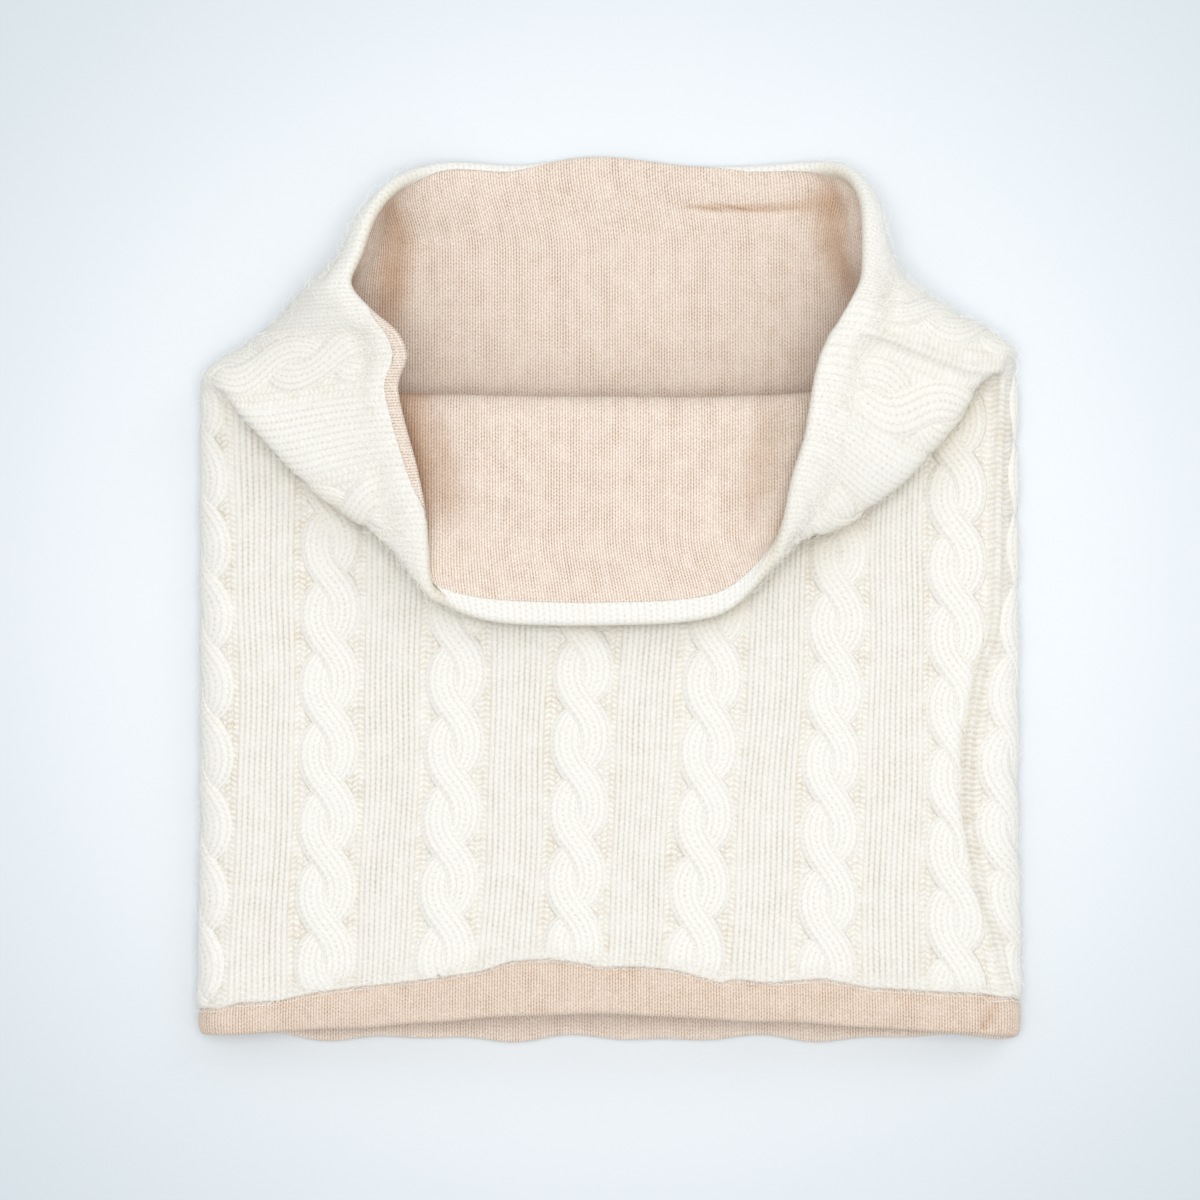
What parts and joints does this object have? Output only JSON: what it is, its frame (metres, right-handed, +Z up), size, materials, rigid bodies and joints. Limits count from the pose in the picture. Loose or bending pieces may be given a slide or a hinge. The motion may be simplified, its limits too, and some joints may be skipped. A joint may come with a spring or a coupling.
{
  "type": "knitted double-layer snood",
  "caption": "Wide cable-knit snood with a plain-knit lining, lying on its back wall with the mouth folded open into two corner flaps and a front flap.",
  "frame": {"origin": "on the floor, under the middle of the bounding box", "axes": "+Z up from the back wall that it lies on; +Y along the wales, from the lower edge towards the folded mouth; +X to the right as seen from above"},
  "size_m": [0.2822, 0.3003, 0.0446],
  "materials": {
    "cream_cable_knit": "soft brushed wool or cashmere, matt",
    "blush_plain_knit": "fine soft wool or cashmere, matt"
  },
  "bodies": {
    "root": {"outer_cable_tube": "cream_cable_knit", "lining_tube": "blush_plain_knit"}
  },
  "joints": []
}
